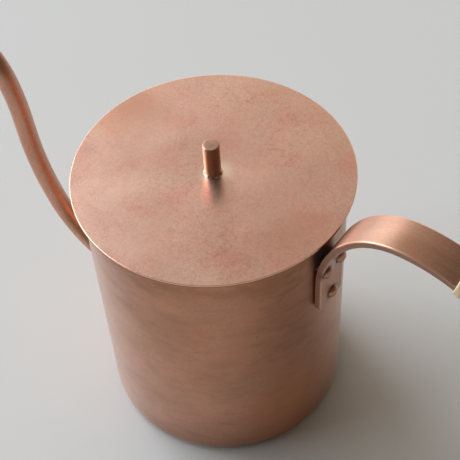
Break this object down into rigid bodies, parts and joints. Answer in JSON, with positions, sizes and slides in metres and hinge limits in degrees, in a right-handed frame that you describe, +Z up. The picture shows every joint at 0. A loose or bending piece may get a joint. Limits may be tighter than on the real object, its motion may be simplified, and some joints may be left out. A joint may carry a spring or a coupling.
{
  "type": "gooseneck kettle",
  "caption": "Copper pouring kettle: a straight round can with a thin swan-necked tube spout, a riveted strap handle wound with cane, and a flat lift-off lid with a rod knob.",
  "frame": {"origin": "centre of the can's base, on the surface that the kettle stands on", "axes": "+Z up along the can's axis, +X towards the handle, -X towards the spout"},
  "size_m": [0.2759, 0.101, 0.1296],
  "materials": {
    "copper": "satin",
    "braze": "satin",
    "cane": "satin"
  },
  "bodies": {
    "kettle": {"body_shell": "copper", "spout_tube": "copper", "spout_braze": "braze", "handle_strap": "copper", "handle_rivets": "copper", "grip_wrap": "cane"},
    "lid": {"lid_disc": "copper", "lid_collar": "copper", "collar_braze": "braze", "lid_knob": "copper", "knob_braze": "braze"}
  },
  "joints": [
    {"name": "lid_lift", "type": "slide", "parent": "kettle", "child": "lid", "axis": [0, 0, 1], "range_m": [0, 0.1]}
  ]
}
